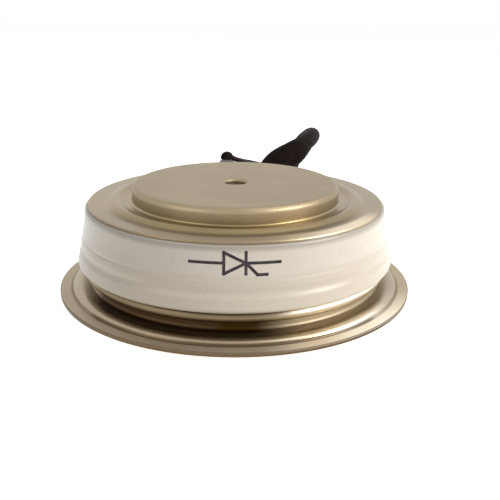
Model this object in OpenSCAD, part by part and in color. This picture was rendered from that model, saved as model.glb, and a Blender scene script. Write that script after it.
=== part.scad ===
// Disc thyristor: a ceramic-walled pressure contact capsule with a gate lead.
// Z runs up the stack from the anode contact face, the gate lead leaves at the back (+Y).

/* [Contact poles] */
// Diameter of both contact faces
contact_d = 34; // [30:0.5:35]
// Radius on the edge of each contact face
contact_edge_r = 0.5; // [0.2:0.1:1]
// How far the root of each pole stands out past the contact diameter, per side
root_step = 1; // [0.6:0.1:1.4]
// Diameter of the locating hole in each contact face
locating_d = 3.5; // [2.5:0.1:5]
// Depth of the locating holes
locating_l = 2.5; // [1.5:0.1:3]
// Chamfer at the mouth of the locating holes
locating_chamfer = 0.25; // [0.1:0.05:0.5]
// Height of the anode pole, contact face to inner face
anode_pole_h = 7; // [6:0.1:7.4]
// How far the anode contact face stands below the weld flange
anode_stand = 2.8; // [1.5:0.1:3.5]
// How far the cathode contact face stands above the lid
cathode_stand = 2.65; // [2.65:0.05:4]

/* [Ceramic] */
// Height of the ceramic ring
ceramic_h = 9.4; // [9:0.2:14]
// Free room between the root of the poles and the bore of the ceramic
bore_room = 3.6; // [3.4:0.1:4.5]
// Wall of the ceramic at its top
top_wall = 2.9; // [2.5:0.1:3.4]
// Wall of the ceramic near its foot
foot_wall = 4.6; // [4:0.05:5]
// Depth of the shallow glaze groove round the foot
groove_depth = 0.22; // [0.1:0.02:0.4]

/* [Weld flange] */
// How far the weld flange stands out past the foot of the ceramic
rim_reach = 3.05; // [2.8:0.05:5]
// Width of the cold-welded rim
rim_w = 1.9; // [1.4:0.1:2.6]
// Thickness of the anode sheet
anode_sheet_t = 0.35; // [0.2:0.05:0.6]
// Height of the round corrugation in the anode sheet
anode_wave_h = 0.9; // [0.4:0.1:1.2]
// Thickness of the seal sheet under the ceramic
seal_sheet_t = 0.3; // [0.2:0.05:0.4]
// Step up from the rim to the flat of the seal sheet
seal_step = 0.8; // [0.5:0.1:1]
// How far the neck of the seal sheet stands out past the bore of the ceramic
neck_out = 2.2; // [1.8:0.1:2.4]
// How far the rolled bulge stands out past the neck
bulge_out = 1.35; // [1.1:0.05:1.5]
// Height from the top of the rim to the underside of the ceramic
seal_rise = 4.1; // [3.9:0.1:5]

/* [Lid] */
// How far the edge of the lid stays in from the edge of the ceramic
lid_margin = 0.4; // [0.2:0.1:1]
// Thickness of the cathode lid
lid_t = 0.4; // [0.25:0.05:0.6]
// Height of the round corrugation in the lid
lid_wave_h = 0.5; // [0.2:0.1:0.8]
// Width of the corrugation in the lid
lid_wave_w = 3.4; // [2.4:0.2:3.6]

/* [Silicon stack] */
// How far the silicon wafer and the molybdenum discs stand out past the contacts
disc_out = 0.5; // [0.2:0.1:0.7]
// Thickness of the anode molybdenum disc
anode_moly_t = 1.5; // [1:0.1:2]
// Thickness of the silicon wafer
wafer_t = 0.4; // [0.3:0.05:0.7]
// Thickness of the cathode molybdenum disc
cathode_moly_t = 0.8; // [0.5:0.1:1.2]
// Thickness of each silver shim
shim_t = 0.1; // [0.05:0.05:0.2]
// Hole for the gate contact through the cathode disc and shim
gate_window_d = 5; // [4:0.2:6]
// Radial wall of the centring ring
centring_wall = 2; // [1.2:0.2:2.4]

/* [Gate contact] */
// Diameter of the gate well in the cathode pole
well_d = 7; // [6.4:0.2:9]
// Depth of the gate well
well_l = 5.2; // [4.8:0.1:5.6]
// Diameter of the tip of the gate pin
pin_tip_d = 2.4; // [1.6:0.1:3]
// Wall of the insulating cup
cup_wall = 0.7; // [0.4:0.05:0.9]
// Number of disc springs on the gate pin
spring_count = 4; // [2:2:6]
// Diameter of the internal gate lead
gate_lead_d = 0.8; // [0.5:0.1:1]
// Outer diameter of the insulation on the internal gate lead
gate_sleeve_d = 1.5; // [1.2:0.1:1.7]
// Outer diameter of the gate tube
gate_tube_d = 3; // [2.6:0.1:3.4]
// Bore of the gate tube
gate_tube_bore = 1.8; // [1.7:0.1:2]
// Turn of the gate tube and tab about the axis, clockwise from the back
gate_turn = 11; // [8:1:14]

/* [Leads] */
// Width of the auxiliary cathode tab
tab_w = 3; // [2.4:0.2:3.6]
// Thickness of the auxiliary cathode tab
tab_t = 0.4; // [0.3:0.05:0.6]
// Diameter of the auxiliary cathode wire
wire_d = 1; // [0.8:0.1:1.2]
// Diameter of the sleeved gate lead
lead_d = 3.5; // [3:0.1:3.9]

/* [Hidden] */
$fn = 120;
eps = 0.01;

// Radial running clearance between parts that slip together
slip = 0.05;

// Levels up the stack
rim_bottom = anode_stand;
weld_z = rim_bottom + anode_sheet_t;
rim_top = weld_z + seal_sheet_t;
ceramic_z = rim_top + seal_rise;
lid_z = ceramic_z + ceramic_h;
lid_top = lid_z + lid_t;
total_h = lid_top + cathode_stand;
anode_moly_z = anode_pole_h + shim_t;
wafer_z = anode_moly_z + anode_moly_t;
wafer_top = wafer_z + wafer_t;
cathode_shim_z = wafer_top + cathode_moly_t;
cathode_inner_z = cathode_shim_z + shim_t;

// Radii
contact_r = contact_d / 2;
root_r = contact_r + root_step;
disc_r = contact_r + disc_out;
ceramic_bore_r = root_r + bore_room;
ceramic_top_r = ceramic_bore_r + top_wall;
ceramic_foot_r = ceramic_bore_r + foot_wall;
flange_r = ceramic_foot_r + rim_reach;
neck_r = ceramic_bore_r + neck_out;
lid_r = ceramic_top_r - lid_margin;

// Gate contact levels, counted from the wafer
gate_z = wafer_top + 3;
pin_flange_t = 1.2;
pin_flange_z = gate_z - pin_flange_t / 2;
pin_flange_top = gate_z + pin_flange_t / 2;
pin_flange_d = well_d - 2 * cup_wall - 1.1;
pin_stem_d = 1.8;
well_top = cathode_inner_z + well_l;
cup_d = well_d - 2 * slip;
cup_bottom = cathode_inner_z + 0.2;
cup_top_t = 0.8;
cup_roof = well_top - cup_top_t;
slot_w = gate_sleeve_d + 0.9;
slot_top = gate_z + gate_sleeve_d / 2 + 0.35;
tube_inner_r = ceramic_bore_r - 0.8;
tube_outer_r = flange_r - 0.5;
tube_cap_t = 0.6;
collar_d = gate_tube_d + 1.4;
collar_at = ceramic_r(gate_z - ceramic_z) - 0.1;

// Profile helpers. Each path is a list of [radius, height] points
function arc(c, r, a0, a1, n) = [for (i = [0:n]) let (a = a0 + (a1 - a0) * i / n) c + r * [cos(a), sin(a)]];
function backwards(p) = [for (i = [len(p) - 1:-1:0]) p[i]];
function unit(v) = v / norm(v);
function left_of(v) = [-v[1], v[0]];
function path_normal(p, i) = left_of(unit(
    unit(p[min(i + 1, len(p) - 1)] - p[max(min(i, len(p) - 2), 0)])
    + unit(p[max(min(i, len(p) - 1), 1)] - p[max(i - 1, 0)])));
function sheet_profile(p, t) = concat(p, backwards([for (i = [0:len(p) - 1]) p[i] + t * path_normal(p, i)]));
function wave(x, h) = h * (1 - cos(360 * x)) / 2;

// A round bar or tube swept along points, with a radius for each point
function heading(p, i) = unit(p[min(i + 1, len(p) - 1)] - p[max(i - 1, 0)]);
function side_of(t) = unit(cross(t, [0, 0, 1]));
function ring_points(p, i, r, sides) = let (t = heading(p, i), s = side_of(t), u = cross(s, t))
    [for (k = [0.5:sides - 0.5]) p[i] + r * (cos(360 * k / sides) * s + sin(360 * k / sides) * u)];

module swept(p, radii, sides) {
    n = len(p);
    rings = [for (i = [0:n - 1]) each ring_points(p, i, radii[i], sides)];
    skin = [for (i = [0:n - 2]) for (k = [0:sides - 1]) let (a = i * sides + k,
        b = i * sides + (k + 1) % sides) each [[a, a + sides, b], [b, a + sides, b + sides]]];
    first_cap = [for (k = [0:sides - 1]) k];
    last_cap = [for (k = [sides - 1:-1:0]) (n - 1) * sides + k];
    polyhedron(rings, concat([first_cap, last_cap], skin));
}

module round_bar(p, d, sides = 8) {
    swept(p, [for (q = p) d / 2], sides);
}

module on_gate_axis() {
    rotate([0, 0, -gate_turn]) translate([0, 0, gate_z]) rotate([-90, 0, 0]) children();
}

// Copper poles, nickel plated, with a round-edged contact face and a wider root
module pole_blank(contact_z, shoulder_z, inner_z, way) {
    r = contact_edge_r;
    root_chamfer = 0.3;
    rotate_extrude() polygon(concat(
        [[0, contact_z]],
        arc([contact_r - r, contact_z + way * r], r, -90 * way, 0, 8),
        [[contact_r, shoulder_z], [root_r, shoulder_z], [root_r, inner_z - way * root_chamfer],
            [root_r - root_chamfer, inner_z], [0, inner_z]]));
}

module locating_hole() {
    translate([0, 0, -eps]) cylinder(d = locating_d, h = locating_l + eps);
    translate([0, 0, -eps]) cylinder(d1 = locating_d + 2 * (locating_chamfer + eps), d2 = locating_d,
        h = locating_chamfer + eps);
}

module anode_pole() {
    color("silver") difference() {
        pole_blank(0, weld_z, anode_pole_h, 1);
        locating_hole();
    }
}

module cathode_pole() {
    color("silver") difference() {
        pole_blank(total_h, lid_z, cathode_inner_z, -1);
        translate([0, 0, total_h]) mirror([0, 0, 1]) locating_hole();
        translate([0, 0, cathode_inner_z - eps]) cylinder(d = well_d, h = well_l + eps);
        rotate([0, 0, -gate_turn]) translate([-slot_w / 2, 0, cathode_inner_z - eps])
            cube([slot_w, root_r + 1, slot_top - cathode_inner_z + eps]);
    }
}

// Thin anode sheet: brazed to the shoulder of the pole, one round corrugation, flat to the rim
module anode_sheet() {
    wave_in = root_r + 2;
    wave_w = 3.2;
    steps = 16;
    color("tan") rotate_extrude() polygon(sheet_profile(concat(
        [[flange_r, weld_z]],
        [for (i = [0:steps]) [wave_in + wave_w * (1 - i / steps), weld_z + wave(i / steps, anode_wave_h)]],
        [[contact_r + slip, weld_z]]), anode_sheet_t));
}

// Seal sheet: cold-welded rim, step, flat, neck, rolled bulge and the face brazed to the ceramic
module seal_sheet() {
    rim_in = flange_r - rim_w;
    shoulder_r = 0.45;
    foot_r = 0.6;
    flat_z = rim_top + seal_step;
    bulge_r = (ceramic_z - flat_z - 1.6) / 2 + 0.02;
    bulge_c = [neck_r + bulge_out - bulge_r, ceramic_z - 0.16 - bulge_r];
    face_in = ceramic_bore_r + 0.8;
    color("tan") rotate_extrude() polygon(sheet_profile(concat(
        [[flange_r, rim_top], [rim_in, rim_top], [rim_in - 0.1, rim_top + 0.1]],
        arc([rim_in - 0.15 - shoulder_r, flat_z - shoulder_r], shoulder_r, 0, 90, 6),
        arc([neck_r + foot_r, flat_z + foot_r], foot_r, 270, 180, 6),
        [[neck_r, bulge_c[1] - bulge_r - 0.3], [neck_r + 0.12, bulge_c[1] - bulge_r - 0.08]],
        arc(bulge_c, bulge_r, -90, 80, 12),
        [[bulge_c[0] - 0.1, ceramic_z], [face_in, ceramic_z]]), seal_sheet_t));
}

// Glazed alumina ring: two-stage taper, a shallow groove and a fine line round the foot
function dip(z, at, half_w, depth) = abs(z - at) < half_w
    ? depth * (1 + cos(180 * (z - at) / half_w)) / 2 : 0;
function ceramic_r(z) = let (bend_z = ceramic_h - 2.8, bend_r = ceramic_top_r + 0.35)
    (z < bend_z ? ceramic_foot_r + (bend_r - ceramic_foot_r) * z / bend_z
        : bend_r + (ceramic_top_r - bend_r) * (z - bend_z) / (ceramic_h - bend_z))
    - dip(z, 2.85, 0.95, groove_depth) - dip(z, 4.75, 0.35, groove_depth / 3);

module ceramic_ring() {
    foot_round = 0.6;
    top_round = 0.4;
    step = 0.2;
    low = ceramic_r(foot_round);
    high = ceramic_r(ceramic_h - top_round);
    color("ivory") difference() {
        translate([0, 0, ceramic_z]) rotate_extrude() polygon(concat(
            [[ceramic_bore_r, 0]],
            arc([low - foot_round, foot_round], foot_round, -90, -10, 6),
            [for (z = [foot_round:step:ceramic_h - top_round - step / 2]) [ceramic_r(z), z]],
            arc([high - top_round, ceramic_h - top_round], top_round, 0, 90, 5),
            [[ceramic_bore_r, ceramic_h]]));
        on_gate_axis() cylinder(d = gate_tube_d, h = flange_r);
        on_gate_axis() translate([0, 0, collar_at]) cylinder(d = collar_d + 2 * slip, h = flange_r);
    }
}

// Cathode lid: brazed to the ceramic and to the pole, with one raised corrugation
module cathode_lid() {
    steps = 14;
    edge = 0.12;
    wave_top = [for (i = [0:steps])
        [root_r + lid_wave_w * (1 - i / steps), lid_top + wave(i / steps, lid_wave_h)]];
    wave_under = [for (q = backwards(wave_top)) [q[0], q[1] - lid_t]];
    color("tan") rotate_extrude() polygon(concat(
        [[lid_r, lid_z], [lid_r, lid_top - edge], [lid_r - edge, lid_top]],
        wave_top, [[contact_r + slip, lid_top], [contact_r + slip, lid_z]], wave_under));
}

// Silicon stack, clamped face to face between the poles
module anode_shim() {
    color("gainsboro") translate([0, 0, anode_pole_h]) cylinder(r = disc_r, h = shim_t);
}

module anode_moly_disc() {
    color("gray") translate([0, 0, anode_moly_z]) cylinder(r = disc_r, h = anode_moly_t);
}

module wafer_body() {
    bevel = 0.3;
    translate([0, 0, wafer_z]) cylinder(r1 = disc_r, r2 = disc_r - bevel, h = wafer_t);
}

module silicon_wafer() {
    color("dimgray") wafer_body();
}

module edge_seal() {
    color("whitesmoke") difference() {
        translate([0, 0, wafer_z]) cylinder(r = root_r - 0.1, h = wafer_t);
        wafer_body();
    }
}

module windowed_disc(z, t) {
    translate([0, 0, z]) difference() {
        cylinder(r = disc_r, h = t);
        translate([0, 0, -eps]) cylinder(d = gate_window_d, h = t + 2 * eps);
    }
}

module cathode_moly_disc() {
    color("gray") windowed_disc(wafer_top, cathode_moly_t);
}

module cathode_shim() {
    color("gainsboro") windowed_disc(cathode_shim_z, shim_t);
}

module centring_ring() {
    overlap_l = 1.2;
    ring_z = anode_pole_h - overlap_l;
    ring_h = cathode_inner_z + overlap_l - ring_z;
    color("white") translate([0, 0, ring_z]) difference() {
        cylinder(r = root_r + slip + centring_wall, h = ring_h);
        translate([0, 0, -eps]) cylinder(r = root_r + slip, h = ring_h + 2 * eps);
    }
}

// Gate contact: a sprung pin in an insulating cup, its lead leaving through a slot in the pole
module gate_cup() {
    mouth_w = gate_sleeve_d + 0.3;
    color("ivory") difference() {
        translate([0, 0, cup_bottom]) cylinder(d = cup_d, h = well_top - cup_bottom);
        translate([0, 0, cup_bottom - eps])
            cylinder(d = cup_d - 2 * cup_wall, h = cup_roof - cup_bottom + eps);
        rotate([0, 0, -gate_turn]) translate([-mouth_w / 2, 0, cup_bottom - eps])
            cube([mouth_w, well_d, gate_z + gate_sleeve_d / 2 + 0.15 - cup_bottom]);
    }
}

module gate_pin() {
    stem_gap = 0.3;
    color("silver") {
        translate([0, 0, wafer_top]) cylinder(d = pin_tip_d, h = pin_flange_z - wafer_top);
        translate([0, 0, pin_flange_z]) cylinder(d = pin_flange_d, h = pin_flange_t);
        translate([0, 0, pin_flange_top]) cylinder(d = pin_stem_d, h = cup_roof - stem_gap - pin_flange_top);
    }
}

module gate_springs() {
    pitch = (cup_roof - pin_flange_top) / spring_count;
    spring_t = pitch * 0.55;
    outer = cup_d / 2 - cup_wall - 0.1;
    inner = pin_stem_d / 2 + 0.12;
    gap = 0.01;
    rise = pitch - spring_t - 2 * gap;
    color("silver") for (i = [0:spring_count - 1]) {
        out_z = i % 2 == 0 ? 0 : rise;
        in_z = rise - out_z;
        translate([0, 0, pin_flange_top + i * pitch + gap]) rotate_extrude()
            polygon([[inner, in_z], [outer, out_z], [outer, out_z + spring_t], [inner, in_z + spring_t]]);
    }
}

module gate_lead() {
    color("silver") on_gate_axis() translate([0, 0, pin_flange_d / 2])
        cylinder(d = gate_lead_d, h = tube_outer_r - tube_cap_t - pin_flange_d / 2);
}

module gate_lead_sleeve() {
    sleeve_in = pin_flange_d / 2 + 0.4;
    sleeve_l = tube_outer_r - tube_cap_t - 1.2 - sleeve_in;
    color("white") on_gate_axis() translate([0, 0, sleeve_in]) difference() {
        cylinder(d = gate_sleeve_d, h = sleeve_l);
        translate([0, 0, -eps]) cylinder(d = gate_lead_d + 0.1, h = sleeve_l + 2 * eps);
    }
}

module gate_tube() {
    collar_t = 0.5;
    tube_l = tube_outer_r - tube_inner_r;
    color("tan") on_gate_axis() difference() {
        union() {
            translate([0, 0, tube_inner_r]) cylinder(d = gate_tube_d, h = tube_l);
            translate([0, 0, collar_at]) cylinder(d = collar_d, h = collar_t);
        }
        translate([0, 0, tube_inner_r - eps]) cylinder(d = gate_tube_bore, h = tube_l - tube_cap_t + eps);
    }
}

// Auxiliary cathode tab, welded on the lid and turned up at the back
tab_turn = 5;
tab_out = lid_r + 2.9;
tab_y = tab_out - tab_t / 2;
joint_h = 2.6;
joint_top = lid_top + joint_h;
sleeve_r = 1.3;
sleeve_l = 1.5;

module cathode_tab() {
    foot_in = lid_r - 1.8;
    neck_w = tab_w * 0.5;
    neck_z = joint_top - sleeve_l;
    tab_top = joint_top - 0.5;
    color("silver") rotate([0, 0, tab_turn]) {
        translate([-tab_w / 2, foot_in, lid_top]) cube([tab_w, tab_out - foot_in, tab_t]);
        translate([0, tab_out, 0]) rotate([90, 0, 0]) linear_extrude(tab_t)
            polygon([[-tab_w / 2, lid_top], [tab_w / 2, lid_top], [tab_w / 2, neck_z - 0.4],
                [neck_w / 2, neck_z], [neck_w / 2, tab_top], [-neck_w / 2, tab_top], [-neck_w / 2, neck_z],
                [-tab_w / 2, neck_z - 0.4]]);
    }
}

// Shrunk sleeve over the solder joint at the top of the tab
module tab_sleeve() {
    color("black") difference() {
        rotate([0, 0, tab_turn]) translate([0, tab_y, joint_top - sleeve_l]) rotate_extrude()
            polygon(concat([[0, 0], [sleeve_r, 0]], arc([0, sleeve_l - sleeve_r], sleeve_r, 0, 90, 6)));
        cathode_tab();
        bore_along(wire_route[0], wire_route[1], wire_d);
    }
}

// Routes of the wire, the boot and the sleeved lead, from the tab and from the end of the gate tube
lead_z = 2.25;
joint_at = [-tab_y * sin(tab_turn), tab_y * cos(tab_turn), joint_top];
lead_at = [tube_outer_r * sin(gate_turn), tube_outer_r * cos(gate_turn), gate_z];
wire_route = concat(
    [for (p = [[0.5, 0.1, -0.9], [1.5, 0.2, -1.5], [2.4, 0.3, -1.8], [3.6, 0.6, -2.15]]) joint_at + p],
    [for (p = [[-3.1, -0.3, 5.5], [-2.1, 0.1, 5.2], [-1.1, 0.6, 4.85], [-0.4, 1.1, 4.5],
        [0.6, 2.6, 3.3]]) lead_at + p]);
boot_route = [for (p = [[-0.4, -1.8, 0], [0.1, 0.6, 0.4], [0.9, 2.9, 2], [2.9, 5.2, 4.2], [6.4, 7.4, 6.3],
    [8.5, 10.6, 7.4]]) lead_at + p];
boot_d = [5.8, 5.9, 6, 6, 5.1, lead_d + 0.4];
drop = lead_z - gate_z;
run_route = [for (p = [[8.5, 10.6, 7.4], [9.55, 12.2, 7.95], [10.35, 14.1, 8.35], [10.75, 17.05, 8.35],
    [10.25, 19.9, 7.6], [9.15, 22.25, 6.05], [8, 24, 3.55], [7.15, 25.3, 0.85], [6.45, 26.45, -1.85],
    [5.9, 27.55, -4.75], [5.5, 28.85, -6.95], [5.2, 30.65, -8.55], [5.05, 32.75, -9.5], [5, 34.3, drop],
    [5, 35.8, drop]]) lead_at + p];

// The lead lies coiled inwards from its start, one and a half turns made of half circles
coil_start_r = 19.5;
coil_pitch = lead_d + 0.3;
coil_end_r = coil_start_r - coil_pitch;
coil_front_r = coil_start_r - coil_pitch / 2;
run_end = run_route[len(run_route) - 1];
coil_at = [run_end[0] - coil_start_r, run_end[1]];
far_turn = 15;
far_at = [10.8 - coil_end_r, -9.5];
far_heading = [cos(far_turn), sin(far_turn)];
tail_bend = [[0, 0], [0, -1.5], [0.5, -4], [2.1, -6.8], [4.4, -9], [7, -10.1]];
tail_plan = concat([for (q = tail_bend) [q[0] - coil_end_r, q[1]]], [far_at - 1.5 * far_heading, far_at]);
tail_route = [for (p = tail_plan) [coil_at[0] + p[0], coil_at[1] + p[1], lead_z]];

module bore_along(a, b, d) {
    v = b - a;
    over = 0.05;
    translate(a) rotate([0, acos(v[2] / norm(v)), atan2(v[1], v[0])])
        cylinder(d = d, h = norm(v) + over, $fn = 24);
}

module cathode_wire() {
    color("black") difference() {
        round_bar(wire_route, wire_d);
        cathode_tab();
    }
}

module lead_boot() {
    last = len(wire_route) - 1;
    color("black") difference() {
        swept(boot_route, boot_d / 2, 12);
        on_gate_axis() cylinder(d = gate_tube_d + 2 * slip, h = tube_outer_r + slip, $fn = 24);
        bore_along(wire_route[last - 1], wire_route[last], wire_d);
    }
}

module lead_run() {
    color("black") round_bar(run_route, lead_d);
}

module half_ring(inner, outer) {
    rotate_extrude(angle = 180) translate([inner, 0]) square([outer - inner, lead_d]);
}

module lead_coil() {
    color("black") translate([coil_at[0], coil_at[1], lead_z - lead_d / 2]) {
        half_ring(coil_end_r - lead_d / 2, coil_start_r + lead_d / 2);
        translate([-coil_pitch / 2, 0, 0]) rotate([0, 0, 180])
            half_ring(coil_front_r - lead_d / 2, coil_front_r + lead_d / 2);
    }
}

module lead_tail() {
    color("black") round_bar(tail_route, lead_d);
}

module coil_tie() {
    tie_w = 3;
    tie_t = 0.45;
    tie_turn = 110;
    loose = 0.05;
    bow = 0.12;
    inner = coil_end_r - lead_d / 2;
    outer = coil_start_r + lead_d / 2;
    inside_w = outer - inner + 2 * loose + bow;
    inside_h = lead_d + 2 * loose;
    color("dimgray") translate([coil_at[0], coil_at[1], lead_z]) rotate([0, 0, tie_turn])
        translate([inner - loose - bow, 0, 0]) difference() {
            translate([-tie_t, -tie_w / 2, -inside_h / 2 - tie_t])
                cube([inside_w + 2 * tie_t, tie_w, inside_h + 2 * tie_t]);
            translate([0, -tie_w, -inside_h / 2]) cube([inside_w, 2 * tie_w, inside_h]);
        }
}

// Far end of the lead: two short wires with insulated push-on terminals, laid on the bench
terminal_l = 11;
terminal_w = 3.2;
terminal_h = 2.6;
terminal_x = 3.4;
terminal_side = 2;
terminal_drop = 0.9;

module at_far_end() {
    translate([coil_at[0] + far_at[0], coil_at[1] + far_at[1], lead_z]) rotate([0, 0, far_turn]) children();
}

module tail_wire(side) {
    spread = side * terminal_side;
    at_far_end() round_bar([[0, side * 0.75, 0], [0.8, side * 0.75, 0],
        [terminal_x - 0.8, spread, -terminal_drop], [terminal_x, spread, -terminal_drop]], wire_d);
}

module terminal(side) {
    blade_w = 2.3;
    blade_h = 0.9;
    blade_l = 6;
    edge = 0.5;
    at_far_end() translate([terminal_x, side * terminal_side, -terminal_drop]) difference() {
        rotate([90, 0, 90]) linear_extrude(terminal_l) polygon([
            [-terminal_w / 2 + edge, -terminal_h / 2], [terminal_w / 2 - edge, -terminal_h / 2],
            [terminal_w / 2, -terminal_h / 2 + edge], [terminal_w / 2, terminal_h / 2 - edge],
            [terminal_w / 2 - edge, terminal_h / 2], [-terminal_w / 2 + edge, terminal_h / 2],
            [-terminal_w / 2, terminal_h / 2 - edge], [-terminal_w / 2, -terminal_h / 2 + edge]]);
        translate([terminal_l - blade_l, -blade_w / 2, -blade_h / 2]) cube([blade_l + 1, blade_w, blade_h]);
    }
}

module gate_tail() {
    color("white") tail_wire(1);
}

module cathode_tail() {
    color("red") tail_wire(-1);
}

module gate_terminal() {
    color("whitesmoke") terminal(1);
}

module cathode_terminal() {
    color("whitesmoke") terminal(-1);
}

anode_pole();
anode_sheet();
seal_sheet();
ceramic_ring();
cathode_lid();
cathode_pole();
anode_shim();
anode_moly_disc();
silicon_wafer();
edge_seal();
cathode_moly_disc();
cathode_shim();
centring_ring();
gate_cup();
gate_pin();
gate_springs();
gate_lead();
gate_lead_sleeve();
gate_tube();
cathode_tab();
tab_sleeve();
cathode_wire();
lead_boot();
lead_run();
lead_coil();
lead_tail();
coil_tie();
gate_tail();
cathode_tail();
gate_terminal();
cathode_terminal();
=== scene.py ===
from math import cos, pi, radians, sin

import bmesh
import bpy
from bpy.props import FloatProperty, FloatVectorProperty, IntProperty, PointerProperty
from mathutils import Matrix, Vector


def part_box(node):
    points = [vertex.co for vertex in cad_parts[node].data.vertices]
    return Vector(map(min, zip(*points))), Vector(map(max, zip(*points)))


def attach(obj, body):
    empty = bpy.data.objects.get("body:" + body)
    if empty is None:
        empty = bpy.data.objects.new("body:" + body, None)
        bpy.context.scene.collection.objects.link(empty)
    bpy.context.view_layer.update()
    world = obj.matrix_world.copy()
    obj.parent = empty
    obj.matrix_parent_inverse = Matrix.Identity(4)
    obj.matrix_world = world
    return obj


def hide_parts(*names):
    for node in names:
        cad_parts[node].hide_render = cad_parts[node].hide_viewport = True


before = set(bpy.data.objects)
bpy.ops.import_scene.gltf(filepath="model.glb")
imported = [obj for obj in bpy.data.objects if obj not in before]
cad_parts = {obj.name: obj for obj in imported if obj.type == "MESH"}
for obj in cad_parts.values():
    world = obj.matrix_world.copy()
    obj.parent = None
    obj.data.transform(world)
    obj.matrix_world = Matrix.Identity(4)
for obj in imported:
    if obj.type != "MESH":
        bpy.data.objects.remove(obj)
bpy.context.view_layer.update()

bl_info = {
    "name": "Disc thyristor",
    "version": (1, 0, 0),
    "blender": (4, 5, 0),
    "location": "View3D > Sidebar > Thyristor",
    "description": "Dresses a ceramic pressure contact capsule and its gate lead",
    "category": "Mesh",
}

MM = 0.001
BODY = "root"
SHARP = radians(40)

# The gate tube, whose axis also places the slot, the boot and the lead
GATE_TURN = radians(11)
GATE_HEIGHT = 12 * MM
TUBE_RADIUS = 1.5 * MM
TUBE_END = 28.75 * MM

# The camera, found from the ellipses of the photograph
CAMERA_PLACE = (2.51 * MM, -113.3 * MM, 46.55 * MM)
CAMERA_TILT = radians(90 - 18.75)
CAMERA_ROLL = radians(0.62)
CLIP = (0.005, 20.0)

FLOOR_RADIUS = 3.0
FLOOR_COLOUR = (0.86, 0.86, 0.86)
FLOOR_LIFT = 0.85

# Lamps: name, the setting that holds the power, place and diameter in metres, tint
LAMPS = (("Key lamp", "key_power", (0.37, -0.15, 0.26), 0.25, (1.0, 0.97, 0.93)),
         ("Fill lamp", "fill_power", (-0.34, -0.26, 0.26), 0.34, (1.0, 0.97, 0.94)),
         ("Top lamp", "top_power", (0.27, 0.06, 0.46), 0.40, (1.0, 0.98, 0.96)))
LAMP_AIM = Vector((0, 0, 0.01))


def low(node):
    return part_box(node)[0]


def high(node):
    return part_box(node)[1]


# Sizes and colours

def length(name, description, default):
    return FloatProperty(name=name, description=description, default=default, min=0, unit="LENGTH",
                         subtype="DISTANCE", precision=5)


def colour(name, description, default):
    return FloatVectorProperty(name=name, description=description, default=default, size=3, min=0, max=1,
                               subtype="COLOR")


def power(name, description, default):
    return FloatProperty(name=name, description=description, default=default, min=0, unit="POWER")


class CapsuleSizes(bpy.types.PropertyGroup):
    top: length("Top", "Height of the cathode contact face", high("cathode_pole").z)
    contact_radius: length("Contact radius", "Radius of both contact faces", 17 * MM)
    contact_edge: length("Contact edge", "Rounding of the edge of the contact faces", 0.9 * MM)
    root_radius: length("Root radius", "Radius of the root of both poles", high("anode_pole").x)
    hole_radius: length("Locating hole radius", "Radius of the locating holes", 1.75 * MM)
    hole_depth: length("Locating hole depth", "Depth of the locating holes", 2.5 * MM)
    ceramic_base: length("Ceramic foot", "Height of the foot of the ceramic", low("ceramic_ring").z)
    ceramic_top: length("Ceramic top", "Height of the top of the ceramic", high("ceramic_ring").z)
    ceramic_bore: length("Ceramic bore", "Radius of the bore of the ceramic", 21.6 * MM)
    ceramic_foot_radius: length("Ceramic foot radius", "Outer radius of the ceramic at its foot", 26.2 * MM)
    ceramic_top_radius: length("Ceramic top radius", "Outer radius of the ceramic at its top", 24.5 * MM)
    lid_radius: length("Lid radius", "Radius of the cathode lid", high("cathode_lid").x)
    lid_thickness: length("Lid thickness", "Thickness of the cathode lid", 0.4 * MM)
    flange_radius: length("Flange radius", "Radius of the weld flange", high("seal_sheet").x)
    seal_thickness: length("Seal sheet thickness", "Thickness of the seal sheet", 0.3 * MM)
    anode_sheet_thickness: length("Anode sheet thickness", "Thickness of the anode sheet", 0.35 * MM)
    steps: IntProperty(name="Steps", description="Steps round a turned piece", default=256, min=32, max=512)


class LeadSizes(bpy.types.PropertyGroup):
    diameter: length("Diameter", "Diameter of the sleeved gate lead", 3.5 * MM)
    wire_diameter: length("Wire diameter", "Diameter of the auxiliary wires", 1 * MM)
    coil_radius: length("Coil radius", "Radius of the outermost half turn of the coil", 19.5 * MM)
    coil_pitch: length("Coil pitch", "Distance between neighbouring turns", 3.8 * MM)


class FinishColours(bpy.types.PropertyGroup):
    nickel: colour("Nickel", "Turned nickel plate of the contact faces", (0.345, 0.275, 0.175))
    sheet: colour("Sheet", "Formed nickel-plated sheet", (0.33, 0.262, 0.168))
    rim: colour("Rim", "Paler pressed metal of the cold-welded rim", (0.46, 0.385, 0.28))
    # The next colour is a painted highlight at the front right of the flat and the rim
    glint_tone: colour("Pale rim", "Clean metal at the front right of the rim", (0.78, 0.69, 0.54))
    # The next colour is painted highlights: at the right of the flat and the rim, and on the bulge at the
    # front right
    bright: colour("Bright rim", "Polished metal at the right of the rim", (0.96, 0.89, 0.76))
    # The next colour is painted shade, for the recess, the lid's valley, the cut edges and the rim's corner
    shade: colour("Tarnish", "Brown tarnish in the recess under the ceramic", (0.055, 0.026, 0.006))
    glaze: colour("Glaze", "Glaze of the ceramic", (0.84, 0.775, 0.69))
    glaze_low: colour("Lower glaze", "Warmer glaze round the foot of the ceramic", (0.75, 0.675, 0.555))
    ink: colour("Ink", "Printed circuit symbol", (0.022, 0.017, 0.020))
    black: colour("Black", "Black sleeve and boot", (0.012, 0.0075, 0.0068))


class StageSettings(bpy.types.PropertyGroup):
    lens: FloatProperty(name="Lens", description="Focal length on a 36 mm sensor", default=50.4, min=1)
    key_power: power("Key lamp", "Power of the lamp at the front right", 1.5)
    fill_power: power("Fill lamp", "Power of the lamp at the front left", 0.36)
    top_power: power("Top lamp", "Power of the high lamp at the right", 0.55)
    ambient: FloatProperty(name="Ambient", description="Strength of the light from all round", default=0.16,
                           min=0, max=1, subtype="FACTOR")


# Node groups and materials

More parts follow.
